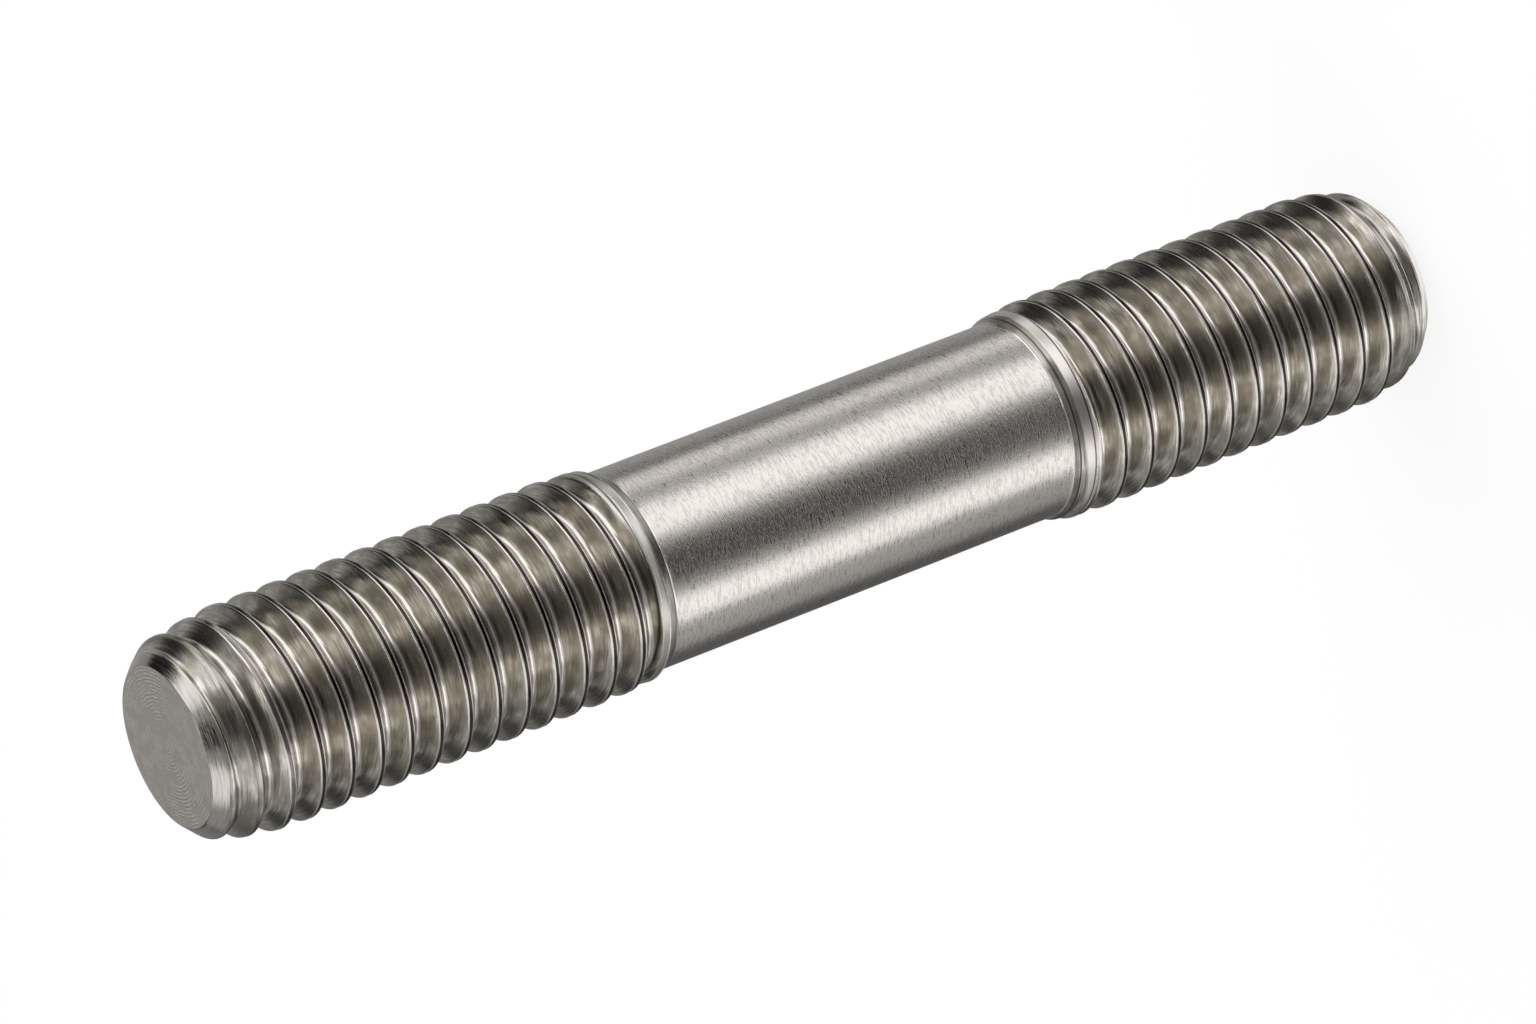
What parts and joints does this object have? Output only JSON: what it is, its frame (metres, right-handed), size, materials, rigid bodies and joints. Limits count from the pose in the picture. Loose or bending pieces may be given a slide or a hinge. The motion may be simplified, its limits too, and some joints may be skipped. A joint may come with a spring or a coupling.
{
  "type": "double end stud",
  "caption": "Steel double end stud: a threaded rod end, a plain shank and a second, slightly shorter threaded end, with chamfered tips.",
  "frame": {"origin": "centre of the end face of the shorter thread, which the stud stands on", "axes": "+Z along the stud's axis, towards the end with the longer thread; the stud is round about Z apart from its threads"},
  "size_m": [0.0119, 0.0118, 0.0765],
  "materials": {
    "steel": "plain drawn and rolled steel, uncoated, satin shank, threads darker from rolling oil"
  },
  "bodies": {
    "root": {"stud": "steel"}
  },
  "joints": []
}
